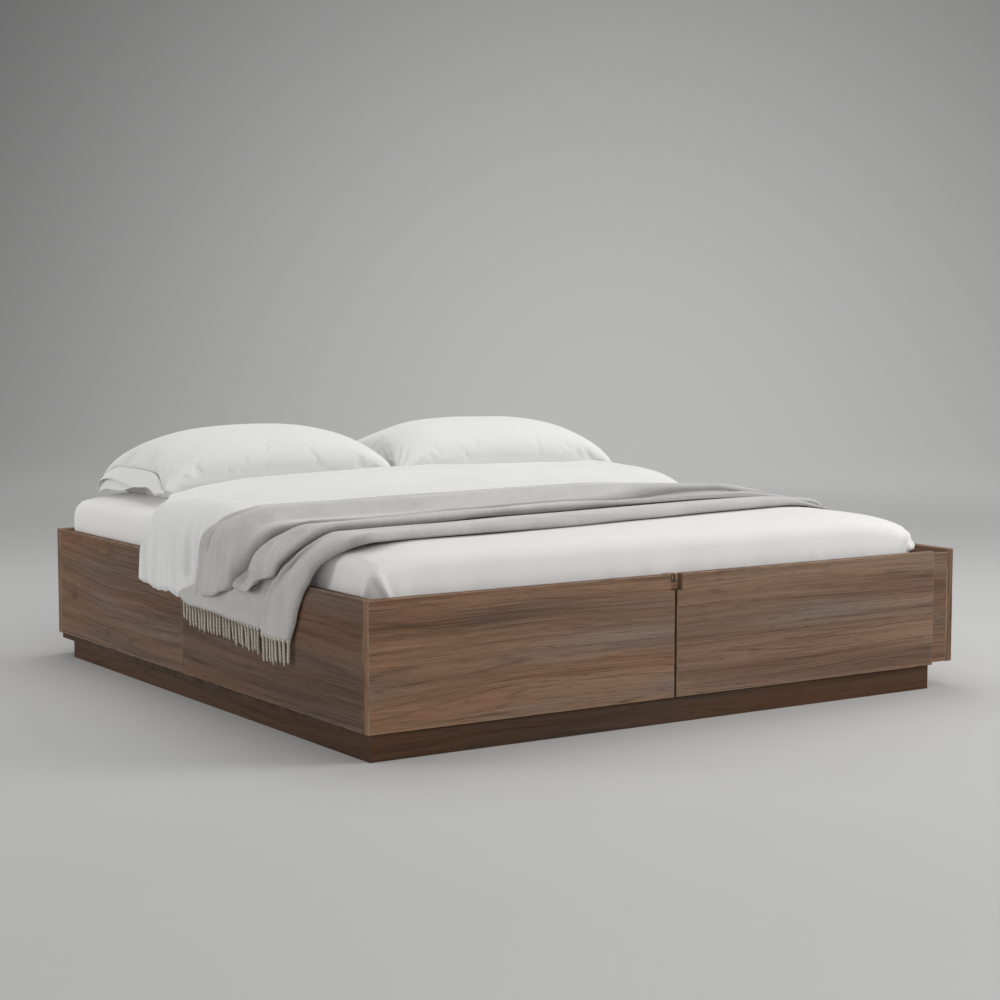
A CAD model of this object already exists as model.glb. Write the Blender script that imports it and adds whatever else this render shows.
import math
from functools import partial

import bpy
import numpy as np
from bpy.props import FloatProperty, FloatVectorProperty, PointerProperty
from bpy.types import Operator, Panel, PropertyGroup
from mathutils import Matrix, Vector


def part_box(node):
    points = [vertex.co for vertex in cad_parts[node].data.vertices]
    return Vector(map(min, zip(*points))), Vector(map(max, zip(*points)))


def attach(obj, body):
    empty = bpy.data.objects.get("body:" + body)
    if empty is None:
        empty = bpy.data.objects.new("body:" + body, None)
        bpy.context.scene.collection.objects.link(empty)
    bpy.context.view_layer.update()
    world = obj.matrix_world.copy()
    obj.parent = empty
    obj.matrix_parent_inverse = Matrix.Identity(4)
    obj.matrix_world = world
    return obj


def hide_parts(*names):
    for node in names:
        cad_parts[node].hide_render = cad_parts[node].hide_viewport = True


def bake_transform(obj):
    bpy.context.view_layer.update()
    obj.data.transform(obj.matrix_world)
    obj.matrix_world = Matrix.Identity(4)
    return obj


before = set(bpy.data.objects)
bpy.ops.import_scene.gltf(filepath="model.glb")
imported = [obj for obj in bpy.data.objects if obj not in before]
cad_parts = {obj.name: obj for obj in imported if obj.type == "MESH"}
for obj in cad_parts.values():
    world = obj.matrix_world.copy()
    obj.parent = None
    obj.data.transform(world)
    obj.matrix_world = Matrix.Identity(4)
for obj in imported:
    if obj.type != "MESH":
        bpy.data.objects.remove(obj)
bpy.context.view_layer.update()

bl_info = {
    "name": "Storage Bed",
    "version": (1, 0, 0),
    "blender": (4, 5, 0),
    "location": "3D View > Sidebar > Bed",
    "description": "Veneer, runners and bedding of a low platform bed with six drawers",
    "category": "Add Mesh",
}

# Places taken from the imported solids, in metres: -X is the bed's left, -Y its foot
MATTRESS_LO, MATTRESS_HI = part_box("mattress")
FRONT_LO, FRONT_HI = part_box("left_foot_front")
BED_TOP = MATTRESS_HI.z + 0.0004
MATTRESS_TOP = BED_TOP - 0.0012
HALF_W = -FRONT_LO.x
SEAM_Y = (FRONT_HI.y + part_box("left_head_front")[0].y) / 2
PILLOW_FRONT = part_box("pillow_left")[0].y
DUVET_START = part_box("duvet")[0].y

# The cloth path of the bedding: columns on the left drop, the left shoulder, the top, the right fall and the tuck
DROP, TURN, TOP, TUCK = 6.0, 5.0, 12.0, 2.0
TOP_START, TOP_END = DROP + TURN, DROP + TURN + TOP
FALL_END = TOP_END + TURN
COLUMNS = FALL_END + TUCK
SHOULDER_W, SHOULDER_H = 0.110, 0.118
FALL_W, FALL_H = 0.26, 0.09
TUCK_Z = FRONT_HI.z + 0.006

# Lifts of the duvet over the mattress, on the bed and on the drop, and the way over which the throw climbs on to it
DUVET_TOP, DUVET_SIDE = 0.048, 0.0115
CLIMB = 0.11

SIDE_DRAWERS = ("left_head", "left_foot", "right_head", "right_foot")
FOOT_DRAWERS = ("foot_left", "foot_right")


def linear(code):
    """The linear colour of an sRGB hex code."""
    parts = (int(code[i : i + 2], 16) / 255 for i in (1, 3, 5))
    return tuple(p / 12.92 if p <= 0.04045 else ((p + 0.055) / 1.055) ** 2.4 for p in parts)


def times(tone, share):
    """A colour times a share, or times one share for each of its parts."""
    return tuple(np.multiply(tone, share).tolist())


def colour(name, description, code):
    """A colour property with an sRGB hex default."""
    about = {"name": name, "description": description, "default": linear(code)}
    return FloatVectorProperty(**about, size=3, min=0, max=1, subtype="COLOR")


def length(name, description, default):
    """A length property in metres."""
    about = {"name": name, "description": description, "default": default}
    return FloatProperty(**about, min=0, unit="LENGTH", subtype="DISTANCE")


class BedFinish(PropertyGroup):
    """Colours of the bed's surfaces."""

    walnut_light: colour("Walnut, light", "Pale streaks of the walnut veneer", "#9D8069")
    walnut_mid: colour("Walnut, middle", "Main tone of the walnut veneer", "#836652")
    walnut_dark: colour("Walnut, dark", "Dark growth lines of the walnut veneer", "#533F33")
    walnut_edge: colour("Walnut, edges", "Worn pale line along the veneer's edges", "#B09A82")
    plinth: colour("Plinth", "Main tone of the plinth boards", "#543C2A")
    board: colour("Carcass board", "Light boards inside the bed", "#C3AE90")
    slat: colour("Slats", "Planed softwood of the slats", "#D3BC97")
    zinc: colour("Zinc plate", "Plated steel of the runners", "#B9BCC0")
    catch: colour("Catch plate", "Dark painted metal of the catch", "#4A443E")
    sheet: colour("Fitted sheet", "Cotton of the fitted sheet", "#F1F0EE")
    pillow: colour("Pillowcases", "Washed cotton of the pillowcases", "#EAEAE8")
    duvet: colour("Duvet cover", "Washed cotton of the duvet cover", "#EAEAE8")
    wool: colour("Throw", "Brushed wool of the throw", "#C6C4C0")
    yarn: colour("Fringe", "Twisted yarn of the throw's fringe", "#CFC8BA")
    backdrop: colour("Studio", "Painted floor and backdrop", "#CBCBCA")


class BedSizes(PropertyGroup):
    """Sizes of the soft pieces that a user would change."""

    fringe: length("Fringe length", "Length of the throw's fringe", 0.074)
    fringe_pitch: length("Fringe spacing", "Distance between two strands of the fringe", 0.0205)
    throw_cloth: length("Throw thickness", "Thickness of one layer of the throw", 0.0055)
    fold_height: length("Fold height", "Height of the throw's tallest fold", 0.0395)
    flange: length("Pillowcase flange", "Width of the open flange of a pillowcase", 0.045)
    arris_line: length("Edge line", "Width of the pale line along the veneer's edges", 0.0030)


# Shapes


def smooth(t):
    """3t^2 - 2t^3 between 0 and 1, held flat outside."""
    c = np.clip(t, 0, 1)
    return c * c * (3 - 2 * c)


def bump(t, centre, width):
    """Bell curve: e to the minus square of the distance from centre in widths."""
    return np.exp(-(((t - centre) / width) ** 2))


def running(steps):
    """Running sum of steps, from 0."""
    return np.concatenate([[0], np.cumsum(steps)])


def place(x, y, z):
    """Points of a grid, from its coordinates by row, by column or by both."""
    return np.stack(np.broadcast_arrays(x, y, z), -1)


def waves(a, b, seed, size, heading, spread):
    """Soft unevenness: the sum of 14 sine waves over (a, b), about size long, whose crests
    run about along heading, scaled to a spread of about 1."""
    count = 14
    rng = np.random.default_rng(seed)
    turn = heading + rng.normal(0, spread, count)
    step = 2 * np.pi / (size * rng.uniform(0.55, 1.8, count))
    phase = rng.uniform(0, 2 * np.pi, count)
    a, b = np.asarray(a, float), np.asarray(b, float)
    across = a[..., None] * -np.sin(turn) + b[..., None] * np.cos(turn)
    return np.sin(across * step + phase).sum(-1) / math.sqrt(count / 2)


def through(knots, values, t):
    """Smooth curve through (knot, value) pairs: cubic pieces whose slope at a knot is that
    between its neighbours."""
    k, v, t = np.asarray(knots, float), np.asarray(values, float), np.asarray(t, float)
    slope = np.gradient(v, k)
    i = np.clip(np.searchsorted(k, t) - 1, 0, len(k) - 2)
    w = k[i + 1] - k[i]
    s = np.clip((t - k[i]) / w, 0, 1)
    return (
        (2 * s**3 - 3 * s**2 + 1) * v[i]
        + (s**3 - 2 * s**2 + s) * w * slope[i]
        + (3 * s**2 - 2 * s**3) * v[i + 1]
        + (s**3 - s**2) * w * slope[i + 1]
    )


def cloth_path(j, hem, top_lift, side_lift):
    """The bedding's line across the bed by column j: straight up the left front from the
    hem, a quarter ellipse over the shoulder, straight across, a wide quarter ellipse and
    straight down at the right."""
    top = BED_TOP + top_lift
    left = HALF_W + side_lift
    right = MATTRESS_HI.x + side_lift
    width = left - SHOULDER_W + right - FALL_W
    turn_in = np.pi / 2 * np.clip((j - DROP) / TURN, 0, 1)
    turn_out = np.pi / 2 * np.clip((j - TOP_END) / TURN, 0, 1)
    x = -left + SHOULDER_W * (1 - np.cos(turn_in)) + np.clip((j - TOP_START) / TOP, 0, 1) * width
    x = np.where(j > TOP_END, right - FALL_W * (1 - np.sin(turn_out)), x)
    up = hem + (top - SHOULDER_H - hem) * np.clip(j / DROP, 0, 1)
    z = up + SHOULDER_H * np.sin(turn_in)
    z = np.where(j > TOP_END, top - FALL_H * (1 - np.cos(turn_out)), z)
    tucked = top - FALL_H + (TUCK_Z - top + FALL_H) * (j - FALL_END) / TUCK
    return x, np.where(j > FALL_END, tucked, z)


def even_columns(start, stop, step, hem):
    """Columns from start to stop that lie a step apart along the cloth path, as one row."""
    fine = np.linspace(start, stop, 1200)
    x, z = cloth_path(fine, hem, 0.02, 0.005)
    run = running(np.hypot(np.diff(x), np.diff(z)))
    return np.interp(np.linspace(0, run[-1], int(run[-1] / step) + 1), run, fine)[None, :]


def normals_of(points):
    """Unit normals of a grid of points: the cross product of its two directions."""
    n = np.cross(np.gradient(points, axis=0), np.gradient(points, axis=1))
    return n / np.maximum(np.linalg.norm(n, axis=2, keepdims=True), 1e-12)


def quads(rows, cols, closed=False):
    """Corner numbers of the faces between the points of a grid; a closed grid joins its
    last column to its first."""
    i, j = np.meshgrid(np.arange(rows - 1), np.arange(cols if closed else cols - 1), indexing="ij")
    k = (j + 1) % cols
    return np.stack([i * cols + j, i * cols + k, (i + 1) * cols + k, (i + 1) * cols + j], -1).reshape(-1, 4)


def cap(middle, first, cols):
    """Triangles from a middle point to a ring of cols points that starts at first."""
    j = np.arange(cols)
    return np.stack([np.full(cols, middle), first + (j + 1) % cols, first + j], -1)


def strip(a, b):
    """Faces between two rows of corner numbers."""
    return np.stack([a[:-1], a[1:], b[1:], b[:-1]], -1)


def add_mesh(name, points, faces, material):
    """A smooth-shaded object of points and lists of faces, in one material."""
    mesh = bpy.data.meshes.new(name)
    mesh.from_pydata(points.tolist(), [], [row for f in faces for row in f.tolist()])
    mesh.validate(clean_customdata=False)
    mesh.polygons.foreach_set("use_smooth", np.ones(len(mesh.polygons), bool))
    mesh.materials.append(material)
    made = bpy.data.objects.new(name, mesh)
    bpy.context.scene.collection.objects.link(made)
    return made


def add_piece(name, points, faces, body, slot, material, uv=None, shade=None):
    """Adds a piece whose faces look outwards, so that its volume is positive: the sum of its
    triangles' products with their corners. It rides on a body, if one is given."""
    volume = sum(
        np.einsum("ij,ij->i", points[f[:, 0]], np.cross(points[f[:, k]], points[f[:, k + 1]])).sum()
        for f in faces
        for k in range(1, f.shape[1] - 1)
    )
    piece = add_mesh(name, points, [f[:, ::-1] for f in faces] if volume < 0 else faces, material)
    mesh = piece.data
    if uv is not None:
        corner = np.zeros(len(mesh.loops), np.int32)
        mesh.loops.foreach_get("vertex_index", corner)
        layer = mesh.uv_layers.new(name="UVMap")
        layer.data.foreach_set("uv", np.asarray(uv, np.float32).reshape(-1, 2)[corner].ravel())
    if shade is not None:
        mesh.normals_split_custom_set_from_vertices(shade.tolist())
    if body:
        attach(piece, body)
    return piece


def lengths(points, axis):
    """Distances between a grid's neighbours down its columns, axis 0, or along its rows, axis 1."""
    return np.linalg.norm(np.diff(points, axis=axis), axis=2)


def skin(outer, inner):
    """Points, faces and map of a closed skin between two grids of the same shape, joined
    along their four edges. The map is in metres: the running length of the outer grid's
    middle row and column."""
    rows, cols = outer.shape[:2]
    n = rows * cols
    number = np.arange(n).reshape(rows, cols)
    faces = quads(rows, cols)
    rim = [
        strip(number[0], number[0] + n)[:, ::-1],
        strip(number[-1], number[-1] + n),
        strip(number[:, 0], number[:, 0] + n),
        strip(number[:, -1], number[:, -1] + n)[:, ::-1],
    ]
    along, down = running(lengths(outer, 1)[rows // 2]), running(lengths(outer, 0)[:, cols // 2])
    uv = np.stack(np.broadcast_arrays(along[None, :], down[:, None]), -1)
    return (
        np.concatenate([outer.reshape(-1, 3), inner.reshape(-1, 3)]),
        [np.concatenate([faces, faces[:, ::-1] + n, *rim])],
        np.concatenate([uv.reshape(-1, 2)] * 2),
    )


def rounded_rim(a, b):
    """1 inside and a quarter circle down to 0 at the edge: the square root of 1 - (1 - a / b)^2."""
    t = np.clip(a / b, 0, 1)
    return np.sqrt(t * (2 - t))


# Materials

# The setting that the second word of a node's kind stands for, where that isn't its operation
MODES = {
    "MapRange": "interpolation_type",
    "Mix": "data_type",
    "VectorRotate": "rotation_type",
    "Attribute": "attribute_name",
}


def add_node(tree, kind, inputs=(), out=0, stops=(), **settings):
    """Adds a node and returns one of its outputs. kind is its type and its operation or mode.
    inputs go by name or in order: each is a value, a socket that feeds it, or a pair of a
    socket and three factors, which feeds it their product. stops are a ramp's places and colours."""
    kind, _, mode = kind.partition(" ")
    made = tree.nodes.new(f"ShaderNode{kind}")
    if mode:
        setattr(made, MODES.get(kind, "operation"), mode)
    for key, value in settings.items():
        setattr(made, key, value)
    for key, value in inputs.items() if isinstance(inputs, dict) else enumerate(inputs):
        socket = made.inputs[key]
        if isinstance(value, tuple) and isinstance(value[0], bpy.types.NodeSocket):
            value = add_node(tree, "VectorMath MULTIPLY", value)
        if isinstance(value, bpy.types.NodeSocket):
            tree.links.new(value, socket)
        else:
            socket.default_value = (*value, 1) if socket.type == "RGBA" else value
    if stops:
        bar = made.color_ramp.elements
        for _ in stops[2:]:
            bar.new(0.5)
        for element, (at, tone) in zip(bar, stops):
            element.position, element.color = at, (*tone, 1)
    return made.outputs[out] if made.outputs else made


def new_material(name):
    """An empty node material, and the function that adds a node to it."""
    made = bpy.data.materials.new(name)
    made.use_nodes = True
    made.node_tree.nodes.clear()
    return made, partial(add_node, made.node_tree)


def grain_vector(add, axis, shift, end_upright):
    """Object coordinates with the grain's way first; on a board's ends the veneer band runs upright."""
    spot = add("TexCoord", out="Object")
    parts = add("SeparateXYZ", [add("VectorMath ADD", [spot, shift])], slice(3))
    along, other, up = parts[axis], parts[1 - axis], parts[2]
    plain = add("CombineXYZ", [along, other, up])
    if not end_upright:
        return plain, spot
    turned = add("CombineXYZ", [up, other, along])
    facing = add("VectorMath ABSOLUTE", [add("NewGeometry", out="Normal")])
    on_end = add("Math GREATER_THAN", [add("SeparateXYZ", [facing], axis), 0.7])
    return add("Mix VECTOR", {0: on_end, 4: plain, 5: turned}, 1), spot


def walnut(name, node, axis, shades, edge, flame, contrast, end_upright=True):
    """Sliced walnut veneer under matt lacquer: growth lines 5 to 15 mm apart that waver and
    close into flames, leaves of slightly different brown with grey and red zones, short dark
    pores, and edges where the lacquer is thin and the wood shows paler."""
    material, add = new_material(name)
    light, mid, dark = shades
    seed = sum(ord(c) * (i + 1) for i, c in enumerate(node)) % 97
    grain, spot = grain_vector(add, axis, (seed * 0.37, seed * 0.11, seed * 0.23), end_upright)
    slow, waver, gaps, pores, zones = (
        add("TexNoise", {"Vector": (grain, features), "Scale": 1, "Detail": detail, "Roughness": rough})
        for features, detail, rough in (
            ((1.1, 3.0, 3.0), 1, 0.5),
            ((3.5, 3.0, 9.0), 2, 0.5),
            ((3.0, 9.0, 22.0), 2, 0.55),
            ((42.0, 700.0, 1500.0), 1, 0.5),
            ((0.9, 2.0, 8.0), 2, 0.5),
        )
    )
    # the figure of the sliced log: its height is bent by a slow noise and a short waver
    along, other, up = add("SeparateXYZ", [grain], slice(3))
    bent = add("Math MULTIPLY_ADD", [slow, flame, add("Math MULTIPLY_ADD", [waver, 0.010, up])])
    figure = add("CombineXYZ", [along, other, bent])
    # over it run leaves 60 mm wide, streaks 15 mm, lines 5 mm, the rings' slow noise, and dark dashes
    # 60 mm long and 3 mm wide, which with the pores are coarser than the real ones so that they show
    leaves, streaks, lines, rings, dashes = (
        add("TexNoise", {"Vector": (figure, features), "Scale": 1, "Detail": detail, "Roughness": rough})
        for features, detail, rough in (
            ((0.7, 3.0, 17.0), 1, 0.5),
            ((1.2, 14.0, 58.0), 2, 0.5),
            ((2.4, 60.0, 260.0), 2, 0.6),
            ((0.55, 3.0, 7.5), 0, 0.4),
            ((15.0, 90.0, 330.0), 1, 0.5),
        )
    )
    # growth lines: thin contours of the slow noise, which close into flames, fainter here and there
    contour = add("Math PINGPONG", [add("Math MULTIPLY", [rings, 13.0]), 0.5])
    growth = add("MapRange SMOOTHSTEP", [contour, 0.0, 0.13, 1.0, 0.0])
    growth = add("Math MULTIPLY", [growth, add("MapRange SMOOTHSTEP", [gaps, 0.44, 0.62])])
    dashes = add("MapRange SMOOTHSTEP", [dashes, 0.57, 0.68])
    pores = add("MapRange SMOOTHSTEP", [pores, 0.60, 0.72])
    tone = add("Math MULTIPLY_ADD", [streaks, 0.30, add("Math MULTIPLY", [leaves, 0.46])])
    tone = add("Math MULTIPLY_ADD", [lines, 0.52, tone])
    tone = add("Math MULTIPLY_ADD", [add("Math SUBTRACT", [tone, 0.64]), contrast, 0.5])
    between = tuple(0.45 * a + 0.55 * b for a, b in zip(dark, mid))
    wood = add("ValToRGB", [tone], stops=[(0.34, dark), (0.43, between), (0.50, mid), (0.66, light)])
    grey = times(np.divide(sum(mid) / 3, mid), (1.06, 0.96, 0.88))
    zone_tone = add("ValToRGB", [zones], stops=[(0.36, grey), (0.52, (1, 1, 1)), (0.64, (1.14, 0.97, 0.92))])
    wood = add("Mix RGBA", {0: 0.42, 6: wood, 7: zone_tone}, 2, blend_type="MULTIPLY")
    marks = add("Math MULTIPLY_ADD", [dashes, 0.36, add("Math MULTIPLY", [growth, 0.42])])
    marks = add("Math MINIMUM", [add("Math MULTIPLY_ADD", [pores, 0.3, marks]), 0.8])
    wood = add("Mix RGBA", {0: marks, 6: wood, 7: times(dark, 0.72)}, 2)
    if edge:
        # the pale line stands on every edge of the board: two of the three distances to its faces are small
        width, pale = edge
        low, high = (np.array(corner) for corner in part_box(node))
        off = add("VectorMath SUBTRACT", [spot, ((low + high) / 2).tolist()])
        off = add("VectorMath SUBTRACT", [((high - low) / 2).tolist(), add("VectorMath ABSOLUTE", [off])])
        near = [
            add("MapRange SMOOTHSTEP", [part, width * 1.15, width * 0.7])
            for part in add("SeparateXYZ", [off], slice(3))
        ]
        both = add("Math ADD", [add("Math ADD", near[:2]), near[2]])
        wear = add("TexNoise", {"Vector": (spot, (14.0,) * 3), "Scale": 1, "Detail": 2, "Roughness": 0.55})
        worn = add("MapRange SMOOTHSTEP", [wear, 0.36, 0.62, 0.10, 0.52])
        line = add("Math MULTIPLY", [add("MapRange SMOOTHSTEP", [both, 1.25, 1.9]), worn])
        wood = add("Mix RGBA", {0: line, 6: wood, 7: pale}, 2)
    relief = add("Math MULTIPLY_ADD", [marks, -0.6, add("Math MULTIPLY", [lines, 0.5])])
    look = {
        "Base Color": wood,
        "Specular IOR Level": 0.16,
        "Roughness": add("MapRange SMOOTHSTEP", [streaks, 0.3, 0.7, 0.70, 0.58]),
        "Normal": add("Bump", {"Strength": 0.25, "Distance": 0.0004, "Height": relief}),
    }
    add("OutputMaterial", [add("BsdfPrincipled", look)])
    return material


def plain_board(name, tone, axis, features):
    """Light veneered board or planed softwood: faint straight grain on a pale ground, dry to the touch."""
    material, add = new_material(name)
    grain, _ = grain_vector(add, axis, (0.3, 0.7, 0.1), False)
    fine, broad = (
        add("TexNoise", {"Vector": (grain, times(features, share)), "Scale": 1, "Detail": detail, "Roughness": rough})
        for share, detail, rough in ((1, 3, 0.6), (0.2, 2, 0.5))
    )
    mixed = add("Math MULTIPLY_ADD", [fine, 0.5, add("Math MULTIPLY", [broad, 0.5])])
    look = {
        "Base Color": add("ValToRGB", [mixed], stops=[(0.35, times(tone, 0.72)), (0.6, tone)]),
        "Roughness": 0.62,
        "Normal": add("Bump", {"Strength": 0.2, "Distance": 0.0003, "Height": fine}),
    }
    add("OutputMaterial", [add("BsdfPrincipled", look)])
    return material


def zinc_plate(name, tone):
    """Roll-formed steel, zinc plated: bright with a fine drawn grain along the runner and slight clouding."""
    material, add = new_material(name)
    spot = add("TexCoord", out="Object")
    drawn, cloud = (
        add("TexNoise", {"Vector": (spot, features), "Scale": 1, "Detail": detail, "Roughness": 0.6})
        for features, detail in (((60.0, 60.0, 1400.0), 2), ((25.0, 25.0, 25.0), 3))
    )
    look = {
        "Base Color": add("ValToRGB", [cloud], stops=[(0.35, times(tone, 0.82)), (0.65, tone)]),
        "Metallic": 1.0,
        "Roughness": add("MapRange SMOOTHSTEP", [drawn, 0.3, 0.7, 0.28, 0.42]),
    }
    add("OutputMaterial", [add("BsdfPrincipled", look)])
    return material


def painted_metal(name, tone):
    """Pressed steel plate with a dark baked paint: almost black, slightly uneven, with a soft shine."""
    material, add = new_material(name)
    spot = add("TexCoord", out="Object")
    grit = add("TexNoise", {"Vector": (spot, (900.0,) * 3), "Scale": 1, "Detail": 2, "Roughness": 0.5})
    look = {
        "Base Color": add("ValToRGB", [grit], stops=[(0.3, times(tone, 0.8)), (0.7, times(tone, 1.2))]),
        "Roughness": 0.42,
        "Normal": add("Bump", {"Strength": 0.15, "Distance": 0.0002, "Height": grit}),
    }
    add("OutputMaterial", [add("BsdfPrincipled", look)])
    return material


def cotton(name, tone, crumple, crumple_size):
    """Washed plain-weave cotton: matt white with a faint sheen, creases a few centimetres long,
    and a weave far below what the picture can show, drawn as 1.5 mm threads."""
    material, add = new_material(name)
    spot = add("TexCoord", out="Object")
    creases, soft, threads = (
        add(
            "TexNoise",
            {"Vector": (spot, (per_metre,) * 3), "Scale": 1, "Detail": detail, "Roughness": rough, "Distortion": bend},
        )
        for per_metre, detail, rough, bend in ((1 / crumple_size, 4, 0.55, 0.6), (3.0, 2, 0.5, 0), (650.0, 1, 0.5, 0))
    )
    shade = add("Math MULTIPLY_ADD", [soft, 0.6, add("Math MULTIPLY", [threads, 0.4])])
    weave = add("Bump", {"Strength": 0.12, "Distance": 0.0006, "Height": threads})
    look = {
        "Base Color": add("ValToRGB", [shade], stops=[(0.3, times(tone, 0.965)), (0.7, tone)]),
        "Roughness": 0.85,
        "Specular IOR Level": 0.25,
        "Sheen Weight": 0.12,
        "Sheen Roughness": 0.5,
        "Normal": add("Bump", {"Strength": crumple, "Distance": 0.006, "Height": creases, "Normal": weave}),
    }
    add("OutputMaterial", [add("BsdfPrincipled", look)])
    return material


def wool(name, tone):
    """Brushed wool twill: grey yarns of mixed lightness in crossing ribs, drawn 4 mm wide, under
    a short nap that catches light at a low angle and lies pressed and darker in the folds, where
    the piece's own fold attribute says."""
    material, add = new_material(name)
    spot = add("TexCoord", out="UV")
    warp, weft, nap, soft = (
        add("TexNoise", {"Vector": (spot, (*features, 1.0)), "Scale": 1, "Detail": detail, "Roughness": rough})
        for features, detail, rough in (
            ((70.0, 900.0), 2, 0.6),
            ((520.0, 45.0), 2, 0.6),
            ((240.0, 240.0), 3, 0.7),
            ((9.0, 9.0), 2, 0.5),
        )
    )
    yarn = add("Math MULTIPLY_ADD", [warp, 0.5, add("Math MULTIPLY", [weft, 0.5])])
    mixed = add("Math MULTIPLY_ADD", [nap, 0.25, add("Math MULTIPLY", [yarn, 0.55])])
    mixed = add("Math MULTIPLY_ADD", [soft, 0.2, mixed])
    bright = tuple(min(1, c) for c in times(tone, 1.2))
    yarns = add("ValToRGB", [mixed], stops=[(0.36, times(tone, 0.74)), (0.5, tone), (0.66, bright)])
    pressed = add("Mix RGBA", {0: 1.0, 6: yarns, 7: (0.42, 0.42, 0.41)}, 2, blend_type="MULTIPLY")
    height = add("Math MULTIPLY_ADD", [nap, 0.5, add("Math MULTIPLY", [yarn, 0.6])])
    look = {
        "Base Color": add("Mix RGBA", {0: add("Attribute fold", out="Fac"), 6: yarns, 7: pressed}, 2),
        "Roughness": 0.92,
        "Specular IOR Level": 0.15,
        "Sheen Weight": 0.35,
        "Sheen Roughness": 0.45,
        "Normal": add("Bump", {"Strength": 0.35, "Distance": 0.0016, "Height": height}),
    }
    add("OutputMaterial", [add("BsdfPrincipled", look)])
    return material


def studio_paint(name, tone):
    """Matt emulsion on a plaster sweep: slightly mottled by the roller. Its far part shows the
    camera a soft pool of light, brightest low behind the bed and a little to the right: e to the
    minus square of the distance from there."""
    material, add = new_material(name)
    spot = add("TexCoord", out="Object")
    mottle = add("TexNoise", {"Vector": (spot, (2.0,) * 3), "Scale": 1, "Detail": 3, "Roughness": 0.5})
    look = {
        "Base Color": add("ValToRGB", [mottle], stops=[(0.3, times(tone, 0.985)), (0.7, tone)]),
        "Roughness": 0.8,
        "Specular IOR Level": 0.2,
    }
    turned = add("VectorRotate Z_AXIS", {"Vector": spot, "Angle": VIEW_TURN})
    side, _, up = add("SeparateXYZ", [turned], slice(3))
    across = add("Math POWER", [add("Math DIVIDE", [add("Math SUBTRACT", [side, 1.1]), 6.4]), 2.0])
    above = add("Math POWER", [add("Math DIVIDE", [add("Math ADD", [up, 0.1]), 6.6]), 2.0])
    fade = add("Math MULTIPLY", [add("Math ADD", [across, above]), -1.0])
    pool = add("Math MULTIPLY", [add("Math POWER", [math.e, fade]), 0.475])
    glow = add("Math MAXIMUM", [pool, 0.13])
    grey = add("CombineColor", [glow, glow, add("Math MULTIPLY", [glow, 0.992])])
    away = add("VectorMath LENGTH", [(spot, (1, 1, 0))], "Value")
    far = add("MapRange SMOOTHSTEP", [away, 3.2, 8.0])
    seen = add("Math MULTIPLY", [far, add("LightPath", out="Is Camera Ray")])
    lit = add("Emission", {"Color": grey, "Strength": 1.0})
    add("OutputMaterial", [add("MixShader", [seen, add("BsdfPrincipled", look), lit])])
    return material


def dress(nodes, material):
    """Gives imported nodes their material."""
    for node in nodes:
        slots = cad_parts[node].data.materials
        slots.clear()
        slots.append(material)


class BED_OT_veneer(Operator):
    """Walnut veneer on the fronts, the head panel, the rails, the plinth and the centre block."""

    bl_idname = "bed.veneer"
    bl_label = "Walnut veneer"

    def execute(self, context):
        finish = context.scene.bed_finish
        shades = [tuple(getattr(finish, f"walnut_{key}")) for key in ("light", "mid", "dark")]
        edge = context.scene.bed_sizes.arris_line, tuple(finish.walnut_edge)
        # each board is cut from its own log: the left fronts are the darkest, the right foot front the lightest
        tones = {
            "left_head_front": (0.84, 0.79, 0.73),
            "left_foot_front": (0.67, 0.62, 0.58),
            "foot_left_front": (1.04, 1.02, 0.98),
            "foot_right_front": (0.92, 0.97, 1.00),
            "centre_block": (1.7, 1.7, 1.7),
        }
        along_y = [f"{d}_front" for d in SIDE_DRAWERS] + ["rail_left", "rail_right"]
        along_x = [f"{d}_front" for d in FOOT_DRAWERS]
        along_x += ["head_panel", "rail_foot", "left_foot_return", "right_foot_return", "centre_block"]
        for axis, nodes in ((1, along_y), (0, along_x)):
            for node in nodes:
                own = [times(tone, tones.get(node, 0.9)) for tone in shades]
                flame = 0.13 if node == "left_head_front" else 0.045
                upright = not node.startswith("rail")
                dress([node], walnut(f"Walnut_veneer_{node}", node, axis, own, edge, flame, 0.66, upright))
        dark = [times(tuple(finish.plinth), share) for share in (1.25, 1, 0.5)]
        for axis, nodes in (
            (0, ("plinth_foot", "plinth_head", "base_deck")),
            (1, ("plinth_left", "plinth_right", "plinth_spine")),
        ):
            for node in nodes:
                dress([node], walnut(f"Walnut_veneer_dark_{node}", node, axis, dark, None, 0.06, 0.8))
        return {"FINISHED"}


class BED_OT_carcass(Operator):
    """Pale boards of the carcass and the drawer boxes, and the slats."""

    bl_idname = "bed.carcass"
    bl_label = "Carcass, boxes and slats"

    def execute(self, context):
        finish = context.scene.bed_finish
        boxes = [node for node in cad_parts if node.endswith("_box")]
        across = [*boxes, "cross_panels", "seam_panels", "end_panels"]
        dividers = [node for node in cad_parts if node.startswith("divider")]
        for axis, nodes in ((0, across), (1, dividers)):
            name = f"Birch_faced_board_{'xy'[axis]}"
            dress(nodes, plain_board(name, tuple(finish.board), axis, (3.0, 60.0, 160.0)))
        planed = plain_board("Planed_spruce", tuple(finish.slat), 0, (2.5, 90.0, 90.0))
        dress(("slats_left", "slats_right", "slat_ledges"), planed)
        return {"FINISHED"}


class BED_OT_hardware(Operator):
    """Zinc-plated runners and the dark catch plate."""

    bl_idname = "bed.hardware"
    bl_label = "Runners and catch"

    def execute(self, context):
        finish = context.scene.bed_finish
        runners = [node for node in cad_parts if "_runner_" in node]
        dress(runners, zinc_plate("Zinc_plated_steel", tuple(finish.zinc)))
        dress(["catch_plate"], painted_metal("Baked_dark_paint", tuple(finish.catch)))
        return {"FINISHED"}


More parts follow.
